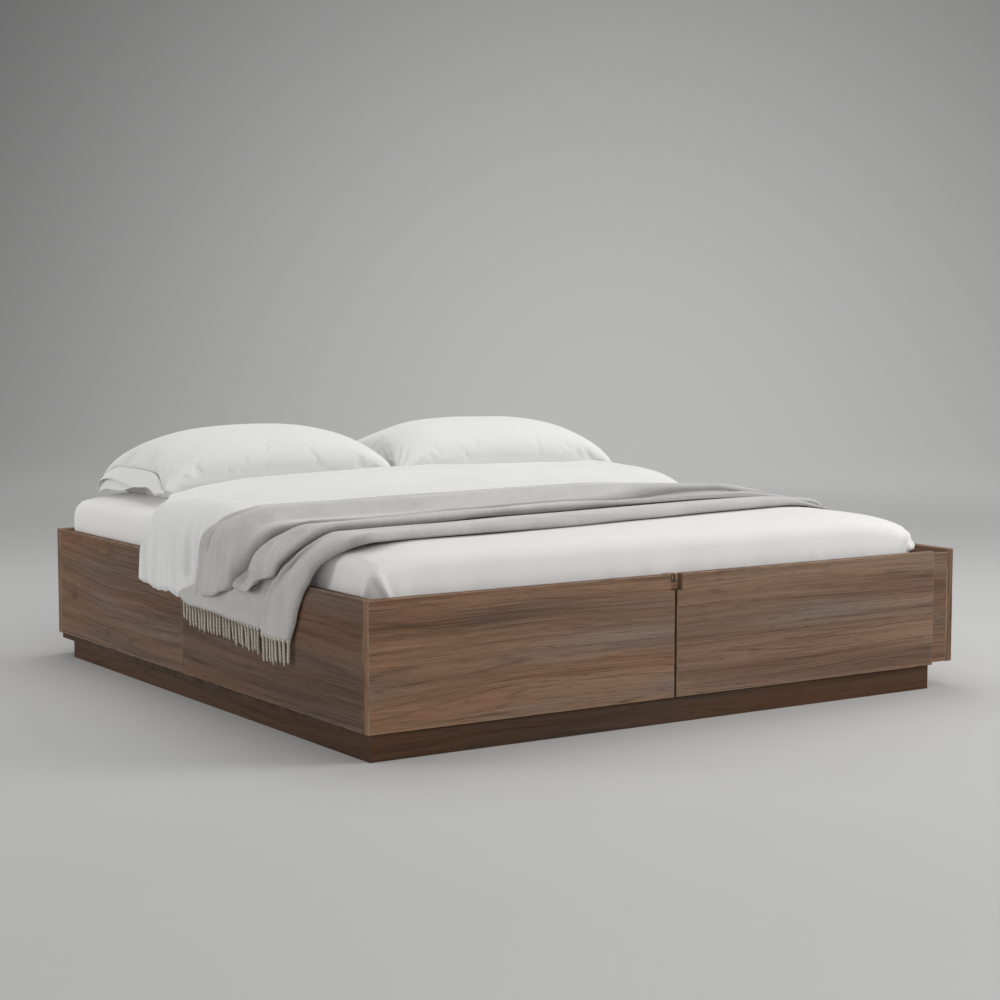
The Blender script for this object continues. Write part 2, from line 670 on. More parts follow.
def rounded_outline(a, b, r, count):
    """Points round a rectangle of half sizes a and b with corners of radius r, four times as
    close at the corners as along the sides, and their outward directions."""
    turn = np.linspace(0, np.pi / 2, 16)
    corners = [
        np.stack([sx * (a - r) + r * np.cos(turn + q), sy * (b - r) + r * np.sin(turn + q)], -1)
        for sx, sy, q in ((1, 1, 0), (-1, 1, np.pi / 2), (-1, -1, np.pi), (1, -1, 1.5 * np.pi))
    ]
    line = np.concatenate([*corners, corners[0][:1]])
    run = running(np.linalg.norm(np.diff(line, axis=0), axis=1))
    fine = np.linspace(0, run[-1], 6000)
    x, y = (np.interp(fine, run, line[:, k]) for k in (0, 1))
    close = 1 + 3 * bump(np.hypot(np.abs(x) - a, np.abs(y) - b), 0, 0.10)
    weight = running(close[1:])
    at = np.interp(np.linspace(0, weight[-1], count, endpoint=False), weight, fine)
    points = np.stack([np.interp(at, run, line[:, k]) for k in (0, 1)], -1)
    out = points - np.clip(points, (r - a, r - b), (a - r, b - r))
    return points, out / np.linalg.norm(out, axis=1, keepdims=True)


def mattress_top(x, y):
    """Height of the mattress: flat inside, falling as a quarter ellipse towards each side, over
    325 mm at the right, 220 mm at the left, 148 mm at the foot and 110 mm at the head."""
    fall = 0
    for off, wide, deep in (
        (MATTRESS_HI.x - x, 0.325, 0.064),
        (x - MATTRESS_LO.x, 0.22, 0.045),
        (y - MATTRESS_LO.y, 0.148, 0.052),
        (MATTRESS_HI.y - y, 0.11, 0.035),
    ):
        t = np.clip(1 - off / wide, 0, 1)
        fall = fall + deep * (1 - np.sqrt(1 - 0.96 * t * t))
    return np.maximum(MATTRESS_TOP - fall, 0.452)


def sheet_folds(x, y, off_corner, out_x, height):
    """How far the fitted sheet stands out from the mattress' outline: soft upright waves that
    grow towards its bottom, a tucked pleat at each corner, which is two bell-shaped ridges that
    part on their way down with a sunk fold between them, and a swelling over the rails."""
    tuck = smooth((0.50 - height) / 0.09)
    along = np.where(np.abs(out_x) > 0.7, y, x)
    folds = 0.0006 * waves(along, height * 0.4, 3, 0.20, np.pi / 2, 0.25)
    folds = folds + 0.0008 * tuck * waves(along, height * 0.3, 5, 0.10, np.pi / 2, 0.25)
    part = np.clip((0.508 - height) / 0.084, 0, 1.2)
    near, far = -0.003 - 0.024 * part, 0.004 + 0.040 * part
    between = smooth((off_corner - near) / 0.012) * smooth((far - off_corner) / 0.016)
    ridges = 0.0035 * bump(off_corner, near - 0.003, 0.007) + 0.005 * bump(off_corner, far + 0.004, 0.010)
    folds = folds + smooth(part / 0.35) * (ridges - 0.008 * between)
    over_rail = smooth((height - 0.402) / 0.018)
    # the fold also stands out over the right rail by the foot
    tongue = 0.015 * smooth((height - 0.426) / 0.006) * smooth((0.466 - height) / 0.026)
    tongue = tongue * smooth((-0.93 - y) / 0.04) * smooth((out_x - 0.2) / 0.5)
    return np.clip(folds, -0.013, 0.002 + 0.0025 * over_rail) - 0.001 + 0.0105 * over_rail + tongue


def mattress_skin():
    """Points and faces of the mattress: rings round its outline that turn a quarter circle at the
    bottom edge, climb the wall, lean 58 degrees over the top edge, and close in on the middle of
    the falling top as their share of the way goes from 1 to 0."""
    half = (MATTRESS_HI - MATTRESS_LO) / 2
    mid_y = (MATTRESS_LO.y + MATTRESS_HI.y) / 2
    outline, out = rounded_outline(half.x, half.y, 0.034, 720)
    x, y, out_x, out_y = outline[None, :, 0], outline[None, :, 1] + mid_y, out[None, :, 0], out[None, :, 1]
    edge, low, lean = 0.040, 0.030, math.radians(58)
    reach = edge * (1 - math.cos(lean))
    rim = mattress_top(x - out_x * reach, y - out_y * reach)
    a = np.linspace(0, np.pi / 2, 7)[:-1, None]
    b = np.linspace(0, lean, 10)[1:, None]
    wall = np.linspace(0, 1, 25)[:, None]
    inset = np.concatenate([low * (1 - np.sin(a)), 0 * wall, edge * (1 - np.cos(b))])
    foot = MATTRESS_LO.z + low
    shoulder = rim - edge * math.sin(lean)
    climb = foot + (shoulder - foot) * wall
    height = np.concatenate([foot - low * np.cos(a) + 0 * rim, climb, shoulder + edge * np.sin(b)])
    side_x, side_y = half.x - np.abs(x), half.y - np.abs(y - mid_y)
    off_corner = np.hypot(side_x, side_y) * np.where(side_x > side_y, 1, -1)
    off_line = sheet_folds(x, y, off_corner, out_x, height) - inset
    rings = place(x + out_x * off_line, y + out_y * off_line, height)
    shares = 1 - np.linspace(0, 1, 68)[1:-1, None, None] ** 1.35
    flat = rings[-1:, :, :2] * shares + np.array([0, mid_y]) * (1 - shares)
    share = shares[..., 0]
    # the sheet's folds at the rim are drawn in, so that the top starts at the rim's height
    draw = 1 - 0.0105 * share**8
    rise = mattress_top(flat[..., 0] * draw, mid_y + (flat[..., 1] - mid_y) * draw)
    rise = rise + 0.0006 * waves(flat[..., 0], flat[..., 1], 9, 0.40, 0.6, 0.8) * smooth((1 - share) / 0.02)
    rings = np.concatenate([rings, np.concatenate([flat, rise[..., None]], -1)])
    rows, cols = rings.shape[:2]
    points = np.concatenate([rings.reshape(-1, 3), [[0, mid_y, MATTRESS_LO.z], [0, mid_y, MATTRESS_TOP]]])
    bottom, top = cap(rows * cols, 0, cols), cap(rows * cols + 1, (rows - 1) * cols, cols)[:, [0, 2, 1]]
    return points, [quads(rows, cols, True), bottom, top]


class BED_OT_mattress(Operator):
    """Mattress in its fitted sheet: soft falling edges, sides that draw in, and tucks at the corners."""

    bl_idname = "bed.mattress"
    bl_label = "Mattress and sheet"

    def execute(self, context):
        material = cotton("Percale_cotton_sheet", tuple(context.scene.bed_finish.sheet), 0.10, 0.12)
        piece = add_piece("mattress_in_sheet", *mattress_skin(), "frame", "sheet_cotton", material)
        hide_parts("mattress")
        return {"FINISHED"}


def inflate(piece, voxel, limit, pressure):
    """Fills a padded piece: an even voxel skin, then cloth under inner pressure without gravity
    for 20 frames, with each point's way held under limit."""
    scene = bpy.context.scene
    bpy.context.view_layer.objects.active = piece
    remesh = piece.modifiers.new("Remesh", "REMESH")
    remesh.mode, remesh.voxel_size = "VOXEL", voxel
    graph = bpy.context.evaluated_depsgraph_get()
    mesh = bpy.data.meshes.new_from_object(piece.evaluated_get(graph))
    piece.modifiers.clear()
    old, piece.data = piece.data, mesh
    bpy.data.meshes.remove(old)
    rest = np.zeros(len(mesh.vertices) * 3)
    mesh.vertices.foreach_get("co", rest)
    cloth = piece.modifiers.new("Cloth", "CLOTH")
    for key, value in (
        ("quality", 5),
        ("mass", 0.3),
        ("use_pressure", True),
        ("uniform_pressure_force", pressure),
        ("tension_stiffness", 15),
        ("compression_stiffness", 15),
        ("bending_stiffness", 0.6),
    ):
        setattr(cloth.settings, key, value)
    cloth.settings.effector_weights.gravity = 0
    frames = 20
    cloth.point_cache.frame_start, cloth.point_cache.frame_end = 1, frames
    for number in range(1, frames + 1):
        scene.frame_set(number)
    graph = bpy.context.evaluated_depsgraph_get()
    moved = np.zeros(len(mesh.vertices) * 3)
    piece.evaluated_get(graph).data.vertices.foreach_get("co", moved)
    piece.modifiers.clear()
    scene.frame_set(1)
    way = (moved - rest).reshape(-1, 3)
    far = np.maximum(np.linalg.norm(way, axis=1, keepdims=True), 1e-9)
    mesh.vertices.foreach_set("co", (rest.reshape(-1, 3) + way * np.minimum(1, limit / far)).ravel())
    mesh.update()


def rest_on_bed(piece, low, high):
    """Brings a filled piece back to the size it had before, and holds it over the mattress."""
    mesh = piece.data
    co = np.zeros(len(mesh.vertices) * 3)
    mesh.vertices.foreach_get("co", co)
    co = co.reshape(-1, 3)
    for axis in (0, 1):
        a, b = co[:, axis].min(), co[:, axis].max()
        co[:, axis] = low[axis] + (co[:, axis] - a) * (high[axis] - low[axis]) / (b - a)
    seam = BED_TOP + 0.05
    z = co[:, 2]
    z = np.where(z > seam, seam + (z - seam) * (high[2] - seam) / (z.max() - seam), z)
    co[:, 2] = np.maximum(z, mattress_top(co[:, 0], co[:, 1]) + 0.0006)
    mesh.vertices.foreach_set("co", co.ravel())
    mesh.update()
    mesh.polygons.foreach_set("use_smooth", np.ones(len(mesh.polygons), bool))


def pillow_skins(side, flange):
    """Upper and lower skin of a pillow over (u, v) from -1 to 1: its outline draws in between the
    corners, and its height over the seam is the root of (1 - |u|^2.6)(1 - |v|^2.2), with creases
    that run out from the corners. The seam climbs towards the ends and falls at the corners."""
    low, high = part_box("pillow_left" if side < 0 else "pillow_right")
    u = np.sin(np.linspace(-np.pi / 2, np.pi / 2, 150))[None, :]
    v = np.sin(np.linspace(-np.pi / 2, np.pi / 2, 84))[:, None]
    end = flange + 0.038 if side < 0 else flange * 0.72 + 0.006
    x0, x1 = (low.x + end, high.x) if side < 0 else (low.x, high.x - end)
    half_x, half_y, half_z = (x1 - x0) / 2, (high.y - low.y) / 2, 0.062
    x = (x0 + x1) / 2 + half_x * u * (1 - 0.045 * (1 - v * v))
    y = (low.y + high.y) / 2 + half_y * v * (1 - 0.085 * (1 - u * u))
    swell = np.sqrt(np.maximum(0, (1 - np.abs(u) ** 2.6) * (1 - np.abs(v) ** 2.2)))
    seam = BED_TOP + half_z + 0.026 * np.abs(u) ** 10 - 0.058 * np.abs(u) ** 8 * np.abs(v) ** 5
    creases = 0
    rng = np.random.default_rng(11 + side)
    for cu, cv in ((-1, -1), (1, -1), (-1, 1), (1, 1)):
        du, dv = (u - cu) * half_x, (v - cv) * half_y
        angle = np.arctan2(dv * -cv, du * -cu)
        phase = rng.uniform(0, 6)
        rays = np.sin(angle * 15 + phase) + 0.7 * np.sin(angle * 27 + 2 * phase)
        creases = creases + bump(np.hypot(du, dv), 0.045, 0.055) * rays
    full = 1 + 0.012 * waves(x, y, 21 + side, 0.26, 0.3, 0.9)
    upper = seam + 0.001 + (high.z - seam - 0.003) * swell * full + 0.0026 * creases * np.minimum(1, swell * 3)
    under = np.maximum(seam - np.maximum(2 * half_z * swell, 0.001), mattress_top(x, y) + 0.0006)
    under = np.where(swell > 0.02, under, seam - 0.001) + 0.0012 * creases * (1 - swell)
    return place(x, y, upper), place(x, y, under)


# How far the hem of a pillowcase's flange hangs below its seam, from the foot corner at -1 to the head corner at 1
FLANGE_SAG = (-1, -0.8, -0.4, 0, 0.35, 0.6, 0.85, 1), (0.002, 0.020, 0.045, 0.050, 0.040, 0.032, 0.032, 0.030)


class BED_OT_pillows(Operator):
    """Two pillows in washed cases with creased corners, each with an open flange at its outer end."""

    bl_idname = "bed.pillows"
    bl_label = "Pillows"

    def execute(self, context):
        flange = context.scene.bed_sizes.flange
        material = cotton("Washed_cotton_pillowcase", tuple(context.scene.bed_finish.pillow), 0.13, 0.05)
        for side, name in ((-1, "pillow_left"), (1, "pillow_right")):
            top, under = pillow_skins(side, flange)
            points, faces, uv = skin(top[::-1], under[::-1])
            piece = add_piece(f"{name}_filled", points, faces, "frame", "pillow_linen", material, uv)
            inflate(piece, 0.0065, 0.022, 4)
            rest_on_bed(piece, points.min(0), points.max(0))
            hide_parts(name)
            root_x, root_y, root_z = (top[:, 0 if side < 0 else -1, k, None] for k in (0, 1, 2))
            v = np.linspace(-1, 1, len(top))[:, None]
            t = np.linspace(0, 1, 16)[None, :]
            reach = flange * 0.72 * (1 - 0.10 * (1 - np.abs(v)) - 0.40 * smooth((v - 0.6) / 0.4))
            sag = through(*FLANGE_SAG, v) * t**1.2
            sag = sag + 0.002 * t * waves(v, t * 0.2, 31 + side, 0.9, np.pi / 2, 0.3)
            y = root_y + 0.006 * v * t
            # the lower layer is a little shorter and gapes towards the head corner
            gape = 0.96 + 1.0 * smooth((v + 0.1) / 0.5)
            for layer, lift, drop, share, over in (
                ("upper", 0.0016, 1.0, 1, 0.0034),
                ("lower", -0.0016, gape, 0.86, 0.001),
            ):
                x = root_x + side * reach * t * share
                z = np.maximum(root_z + lift - sag * drop, mattress_top(x, y) + over)
                outer = place(x, y, z)
                points, faces, uv = skin(outer, outer - np.array([0, 0, 0.0012]))
                hem = add_piece(f"{name}_flange_{layer}", points, faces, "frame", "pillow_linen", material, uv)
        return {"FINISHED"}


# The throw's lines across the bed, by column: where its edges and creases lie along the bed
LINE_J = (0, 2, 4.8, 6, 7.5, 9, 10, 11, 11.7, 13.7, 16.3, 18.3, 23, 25.7, 28, 30)
FOOT_LINE = (
    *(-0.650, -0.680, -0.722, -0.757, -0.806, -0.872, -0.912, -0.916),
    *(-0.899, -0.872, -0.850, -0.800, -0.716, -0.700, -0.68, -0.67),
)
CREASE_B = (
    *(-0.482, -0.494, -0.540, -0.580, -0.650, -0.705, -0.718, -0.712),
    *(-0.700, -0.658, -0.600, -0.575, -0.535, -0.575, -0.58, -0.58),
)
CREASE_A = (
    *(-0.336, -0.358, -0.395, -0.412, -0.450, -0.508, -0.566, -0.606),
    *(-0.618, -0.572, -0.500, -0.450, -0.370, -0.420, -0.46, -0.47),
)
HEAD_LINE = (
    *(-0.066, -0.080, -0.107, -0.120, -0.152, -0.235, -0.268, -0.262),
    *(-0.252, -0.242, -0.205, -0.160, -0.115, -0.17, -0.23, -0.25),
)

# Heights of the hems of the flap and of the upper layer on the left drop, along the bed
FLAP_HEM = (
    (-0.50, -0.424, -0.302, -0.189, -0.072, 0.008, 0.032, 0.050),
    (0.277, 0.280, 0.287, 0.295, 0.297, 0.302, 0.315, 0.322),
)
UPPER_HEM = (
    (-0.56, -0.48, -0.455, -0.43, -0.38, -0.33, -0.28, -0.23, -0.18, -0.12, -0.05),
    (0.455, 0.408, 0.392, 0.381, 0.381, 0.379, 0.366, 0.350, 0.338, 0.332, 0.330),
)

# How far the mattress' right edge and side stand out from the cloth path, by column
EDGE_OUT = (
    (22, 24.6, 25, 25.5, 26, 26.5, 26.9, 27.25, 27.5, 27.75, 28, 30),
    (0, 0, 0.0018, 0.0055, 0.0102, 0.0158, 0.0192, 0.0172, 0.0140, 0.0116, 0.0106, 0.0106),
)

# Sections through the throw, from foot to head: a place between two lines, a step along the bed,
# a height, in metres, and how far the nap lies pressed
FOOT_BAND = (
    *((0, 0.050, 0.0008, 0.9), (0, 0.022, 0.0010, 0.9), (0, 0.005, 0.0040, 0.7), (0, -0.001, 0.0110, 0.40)),
    *((0, 0.004, 0.0190, 0.28), (0, 0.018, 0.0255, 0.05), (0, 0.045, 0.0285, 0), (0.40, 0, 0.0275, 0)),
    *((0.72, 0, 0.0215, 0), (0.94, 0, 0.0150, 0), (1, 0.050, 0.0110, 0.15)),
)
UPPER_BANDS = (
    *((0, 0.060, 0.0130, 1), (0, 0.032, 0.0140, 1), (0, 0.014, 0.0150, 0.9), (0, 0.006, 0.0175, 0.7)),
    *((0, 0.001, 0.0225, 0.6), (0, -0.003, 0.0285, 0.55), (0, -0.001, 0.0345, 0.30), (0, 0.008, 0.0385, 0.05)),
    *((0, 0.022, 0.0395, 0), (0.55, 0, 0.0380, 0), (1, -0.040, 0.0340, 0), (1, -0.020, 0.0275, 0.1)),
    *((1, -0.008, 0.0215, 0.7), (1, 0, 0.0180, 1), (1, 0.005, 0.0225, 1), (1, 0.010, 0.0280, 0.9)),
    *((1, 0.022, 0.0325, 0.60), (1, 0.045, 0.0335, 0.05), (1.35, 0, 0.0280, 0), (1.60, 0, 0.0190, 0.04)),
    *((1.80, 0, 0.0115, 0.06), (2, -0.036, 0.0080, 0.02), (2, -0.020, 0.0095, 0), (2, -0.006, 0.0105, 0)),
    *((2, 0.001, 0.0085, 0.1), (2, 0, 0.0050, 0.8), (2, -0.010, 0.0030, 1), (2, -0.026, 0.0025, 1)),
)
CREST = 0.0395


def thinned(j, y):
    """Share of its thickness that the duvet keeps: all of it at the pillows and the left, under
    half of it at the right where the throw holds it down."""
    return 1 - 0.56 * smooth((j - 20.0) / 3.5) * smooth((0.24 - y) / 0.17)


def duvet_y(j, v):
    """Where the duvet lies along the bed: its head edge leans footwards as it climbs the drop,
    then swings up to the pillows."""
    columns = (0, 4, 6, 8, 9.5, 10.5, 11.3, 12.2, 14, 30)
    head = through(columns, (0.370, 0.350, 0.315, 0.288, 0.298, 0.345, 0.398, 0.448, 0.474, 0.476), j)
    return DUVET_START + (np.minimum(head, PILLOW_FRONT - 0.008) - DUVET_START) * v


def duvet_grid(j, v, outer):
    """The duvet's outer or inner skin over columns j and its width share v from foot to head: the
    cloth path with a puffed lift that rounds off at every edge, rises to the pillows in the middle
    of the bed and over the right shoulder, sinks in a slit at the throw's head edge, and rolls
    gently where the throw doesn't cover it."""
    y = duvet_y(j, v)
    hem = through((0, 0.25, 0.5, 0.75, 0.9, 1), (0.304, 0.304, 0.310, 0.314, 0.318, 0.338), v)
    hem = hem + 0.003 * smooth((y - 0.05) / 0.05) * waves(v, 0 * v, 49, 0.12, np.pi / 2, 0.05)
    if not outer:
        x, z = cloth_path(j, hem, 0.0005, 0.0005)
        return place(x, y, z)
    rim, hem_rim = rounded_rim(np.minimum(v, 1 - v), 0.05), rounded_rim(j + 0.02, 0.45)
    covered = np.maximum(smooth((-0.10 - y) / 0.08), smooth((0.10 - y) / 0.04) * smooth((3.4 - j) / 1.2))
    bare = 1 - covered
    swing = 0.07 * np.sin(2 * np.pi * (1.7 * v + 0.04 * j)) + 0.05 * waves(j * 0.07, y, 41, 0.5, 0.2, 0.6)
    roll = 0.94 + swing * bare
    headwards = smooth((v - 0.35) / 0.55)
    middle = smooth((j - DROP - 3.0) / 7) * smooth((TOP_END + 2 - j) / 6)
    edge_fall = 0.016 * headwards * bump(j, TOP_START - 0.2, 1.6)
    shoulder = 0.026 * bump(j, 24.8, 2.6) * smooth(y / 0.14)
    slit = bump(y - through(LINE_J, HEAD_LINE, j), 0.009, 0.011) * smooth((17.5 - j) / 3)
    lift = DUVET_TOP * (roll - 0.12 * covered) * thinned(j, y) + 0.034 * middle * headwards
    lift = (lift + shoulder - edge_fall - 0.014 * slit) * rim
    side = 0.0005 + (DUVET_SIDE + 0.003 * bare) * rim * hem_rim * roll * (1 - 0.75 * slit)
    x, z = cloth_path(j, hem, lift, side)
    hang = smooth((DROP + 4 - j) / 6) * bare
    x = x - np.maximum(0.0045 * hang * hem_rim * waves(y, j * 0.01, 43, 0.085, np.pi / 2, 0.2), -0.004)
    on_top = smooth((j - DROP - 2) / 4)
    z = z + 0.0020 * on_top * bare * rim * waves(x, y, 47, 0.16, 0.25, 0.5)
    return place(x, y, z)


class BED_OT_duvet(Operator):
    """Duvet in a white cover, in a foot part and a head part that meet over the drawer seam, so
    that each can follow its own drawer."""

    bl_idname = "bed.duvet"
    bl_label = "Duvet"

    def execute(self, context):
        material = cotton("Washed_cotton_duvet_cover", tuple(context.scene.bed_finish.duvet), 0.16, 0.09)
        j = even_columns(0, COLUMNS, 0.0105, 0.30)
        split = (SEAM_Y - DUVET_START) / (duvet_y(j, 1.0) - DUVET_START)
        for part, low, high in (("foot", 0 * split, split), ("head", split, 0 * split + 1)):
            v = low + (high - low) * np.linspace(0, 1, 52)[:, None]
            outer, inner = duvet_grid(j, v, True), duvet_grid(j, v, False)
            # normals of a grid that runs on past the split, so that the two parts shade as one
            past = 0.004
            longer = np.concatenate([np.clip(v[:1] - past, 0, 1), v, np.clip(v[-1:] + past, 0, 1)])
            shade = normals_of(duvet_grid(j, longer, True))[1:-1]
            shade = (shade * np.sign(shade[26, shade.shape[1] // 2, 2]))[::-1].reshape(-1, 3)
            points, faces, uv = skin(outer[::-1], inner[::-1])
            shade = np.concatenate([shade, -shade])
            piece = add_piece(f"duvet_{part}_part", points, faces, None, "duvet_cotton", material, uv, shade)
            if part == "foot":
                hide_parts("duvet")
            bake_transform(piece)
        return {"FINISHED"}


def throw_point(j, y, lift, hem):
    """A place on the throw: the cloth path with a lift that climbs on to the duvet, moved out along
    its own normal by lift, and by as much as the mattress' right edge stands out where no duvet
    covers it."""
    up = smooth((y - DUVET_START + CLIMB) / CLIMB)
    lift = lift + np.maximum(through(*EDGE_OUT, j), 0) * (1 - up)
    top, side = (DUVET_TOP * 0.90 * thinned(j, y) + 0.001) * up, (DUVET_SIDE + 0.002) * up
    x, z = cloth_path(j, hem, top, side)
    ax, az = cloth_path(np.maximum(j - 0.3, 0), hem, top, side)
    bx, bz = cloth_path(np.minimum(j + 0.3, COLUMNS), hem, top, side)
    run = np.hypot(bx - ax, bz - az)
    return place(x - (bz - az) / run * lift, y, z + (bx - ax) / run * lift)


def throw_section(section, lines, j, rows):
    """Where a section of the throw runs over all columns: smooth curves through its places, heights
    and pressed shares; a place of 1.45 lies 45 % of the way from the second line to the third."""
    spot, step, height, pressed = (np.array(part) for part in zip(*section))
    lines = np.stack([through(LINE_J, line, j[0]) for line in lines])
    index = np.minimum(spot.astype(int), len(lines) - 2)
    share = (spot - index)[:, None]
    knots_y = lines[index, :] * (1 - share) + lines[index + 1, :] * share + step[:, None]
    run = running(np.hypot(np.diff(knots_y.mean(1)), np.diff(height) * 1.5) ** 0.7)
    t = np.interp(np.linspace(0, 1, rows), np.linspace(0, 1, len(run)) * 0.5 + run / run[-1] * 0.5, run)
    y = np.stack([through(run, column, t) for column in knots_y.T], 1)
    return y, through(run, height, t)[:, None], np.interp(t, run, pressed)[:, None]


def throw_layer(name, j, y, rise, fold, cloth, hem, material):
    """One layer of the throw as a closed skin: its outer face stands at a rise over the bed and its
    inner face lies one cloth thickness below it; fold tells the wool where its nap is pressed."""
    outer = throw_point(j, y, rise, hem)
    normals = normals_of(outer)
    inner = outer - normals * np.reshape(cloth, (-1, 1, 1)) * np.sign(normals[len(outer) // 2, -20, 2])
    points, faces, uv = skin(outer[::-1], inner[::-1])
    piece = add_piece(name, points, faces, None, "throw_wool", material, uv)
    fold = np.clip(np.broadcast_to(fold, outer.shape[:2])[::-1].ravel(), 0, 1).astype(np.float32)
    piece.data.attributes.new("fold", "FLOAT", "POINT").data.foreach_set("value", np.tile(fold, 2))
    return piece, (float(lengths(outer, 0).sum(0).mean()), float(lengths(outer, 1).sum(1).mean())), outer


def strands(name, roots, lean, reach, thick, material):
    """Fringe: each strand is a two-ply tube down from its root, whose ring of 8 points turns along
    it and swells to a knot at the top, and thins at its tip; all lean along the bed."""
    count, rings, sides = len(roots), 15, 8
    t = np.linspace(0, 1, rings)[None, :, None]
    a = np.linspace(0, 2 * np.pi, sides, endpoint=False)[None, None, :]
    rng = np.random.default_rng(7)
    sway, bend = rng.normal(0, 1, (count, 1, 1)), rng.normal(0, 1, (count, 1, 1))
    size = reach * rng.uniform(0.9, 1.06, (count, 1, 1))
    radius = thick * (0.82 + 0.75 * bump(t, 0.07, 0.05)) * (1 - 0.55 * smooth((t - 0.86) / 0.14))
    radius = radius * (1 + 0.24 * np.cos(2 * (a - 24 * t + sway)))
    away = 0.0035 * sway * t**1.3 + 0.0028 * bend * np.sin(np.pi * t) * t
    x, y, z = (roots[:, k, None, None] for k in (0, 1, 2))
    x, y = x - 0.0008 * np.abs(bend) * t, y + lean * t * size + away
    tubes = place(x + radius * np.cos(a), y + radius * np.sin(a), z - t * size)
    ends = np.stack([tubes[:, 0].mean(1), tubes[:, -1].mean(1) - np.array([0, 0, 0.002])], 1)
    points = np.concatenate([tubes.reshape(count, -1, 3), ends], 1).reshape(-1, 3)
    last = rings * sides
    one = quads(rings, sides, True), cap(last, 0, sides), cap(last + 1, last - sides, sides)[:, [0, 2, 1]]
    start = (np.arange(count) * (last + 2))[:, None, None]
    faces = [(f[None] + start).reshape(-1, f.shape[1]) for f in one]
    uv = np.stack(np.broadcast_arrays(a * thick, t * reach + 0 * a), -1).reshape(-1, 2)
    uv = np.tile(np.concatenate([uv, np.zeros((2, 2))]), (count, 1))
    return add_piece(name, points, faces, None, "throw_wool", material, uv)


def grow_at(j, last, over):
    """How full the throw's folds stand by column: four fifths on the drop, full over the bed, and
    thinner again down the right edge from the last full column on."""
    return (0.80 + 0.20 * smooth((j - 4) / 5)) * (1 - 0.70 * smooth((j - last) / over))


def pressed_hem(cloth, turned):
    """Thickness of a layer by row: under a third of the cloth from three rows past its turn on, so
    that the turned-in hem stays under its own top face."""
    return cloth * (1 - 0.7 * smooth(turned / 3))


def foot_band(j, tall):
    """Places, rise and pressed share of the foot band: rolled at its foot edge, swollen along the
    crease with the upper layer, with a short nip below the shoulder, and its back under that layer."""
    y, rise, fold = throw_section(FOOT_BAND, (FOOT_LINE, CREASE_B), j, 84)
    crease = through(LINE_J, CREASE_B, j)
    rise = rise * tall * grow_at(j, 22.8, 3.4)
    rise = rise + 0.008 * smooth((12.5 - j) / 4) * smooth(j / 3) * bump(y - crease, -0.020, 0.014)
    rise = rise + 0.0012 * waves(j * 0.08, y, 61, 0.14, 0.05, 0.15) * smooth(rise / 0.006)
    low, behind = 1 - smooth((j - 4.5) / 2.5), crease - 0.004
    y = np.where(y > behind, behind + (y - behind) * (1 - low), y)
    nip = bump(j, 7.2, 1.3) * bump(y - crease, -0.036, 0.012)
    rise = rise + 0.006 * low * smooth((y - behind + 0.06) / 0.05) - 0.006 * nip
    return y, np.maximum(rise, 0.0008), fold + 0.7 * nip


def flap(j, cloth):
    """Places, rise, pressed share and hem of the lower flap, which hangs under the upper layer over
    the left fronts: straight from the crease to near the head edge, in soft upright waves."""
    t = np.linspace(0, 1, 70)[:, None]
    start = through(LINE_J, CREASE_B, j) - 0.008
    stop = 0.046 + (through(LINE_J, HEAD_LINE, j) - 0.076) * smooth(j / 2.4)
    y = start + (stop - start) * t
    wave = 1 + waves(y, j * 0.02, 63, 0.10, np.pi / 2, 0.15)
    rise = cloth + 0.0008 + 0.0012 * wave * rounded_rim(np.minimum(t, 1 - t), 0.2)
    fold = 0.5 * smooth((0.03 - t) / 0.03) + 0.35 * smooth((j - 3.2) / 1.2)
    return y, np.maximum(rise, cloth + 0.0006), fold, through(*FLAP_HEM, y[:, :1])


def upper_layer(j, tall):
    """Places, rise and pressed share of the upper layer: a steep roll over the foot band, a crease,
    and the head band up to its edge. The crease opens to the right, and is a wide dark hollow over
    the shoulder and down the drop."""
    y, rise, fold = throw_section(UPPER_BANDS, (CREASE_B, CREASE_A, HEAD_LINE), j, 160)
    beyond = y - through(LINE_J, CREASE_A, j)
    right = smooth((j - 17.5) / 3)
    rise = rise * tall * grow_at(j, 25.8, 3.0) * (1 - 0.32 * right * smooth((beyond - 0.05) / 0.08))
    dip = smooth((25.8 - j) / 2.0) * smooth(beyond / 0.02) * smooth((0.14 - beyond) / 0.08)
    rise = rise - 0.009 * right * dip
    sunk = (0.008 + 0.011 * smooth((beyond + 0.16) / 0.12)) * (1 + 0.3 * smooth((j - 23) / 2))
    sunk = sunk * smooth((26.5 - j) / 1.5) * smooth((rise - 0.016) / 0.012) * smooth((-0.004 - beyond) / 0.03)
    rise = rise - right * sunk
    hung = smooth((j + 0.5) / 1.5)
    drop, hollow = smooth((DROP + 4.5 - j) / 4) * hung, smooth((14.5 - j) / 4) * hung
    rise = rise + drop * (0.004 - 0.024 * bump(beyond, 0.0, 0.038) + 0.007 * bump(beyond, -0.050, 0.016))
    fold = fold * np.where(beyond < -0.02, 1 - 0.7 * smooth((j - 23.3) / 1.5), 1)
    fold = np.maximum(fold, 0.85 * hollow * bump(beyond, -0.004, 0.030))
    fold = np.maximum(fold, smooth((j - 19.3) / 2) * bump(beyond, 0.010, 0.018))
    at_crease = bump(y - through(LINE_J, CREASE_B, j), 0.002, 0.014)
    fold = np.maximum(fold, 0.55 * right * smooth((24.3 - j) / 1.5) * at_crease)
    uneven = 0.0012 * waves(j * 0.08, y, 67, 0.13, 0.06, 0.2)
    uneven = uneven + 0.0018 * drop * waves(y, j * 0.03, 69, 0.08, np.pi / 2, 0.25)
    return y, np.maximum(rise + smooth(rise / 0.012) * uneven, 0.0012), fold


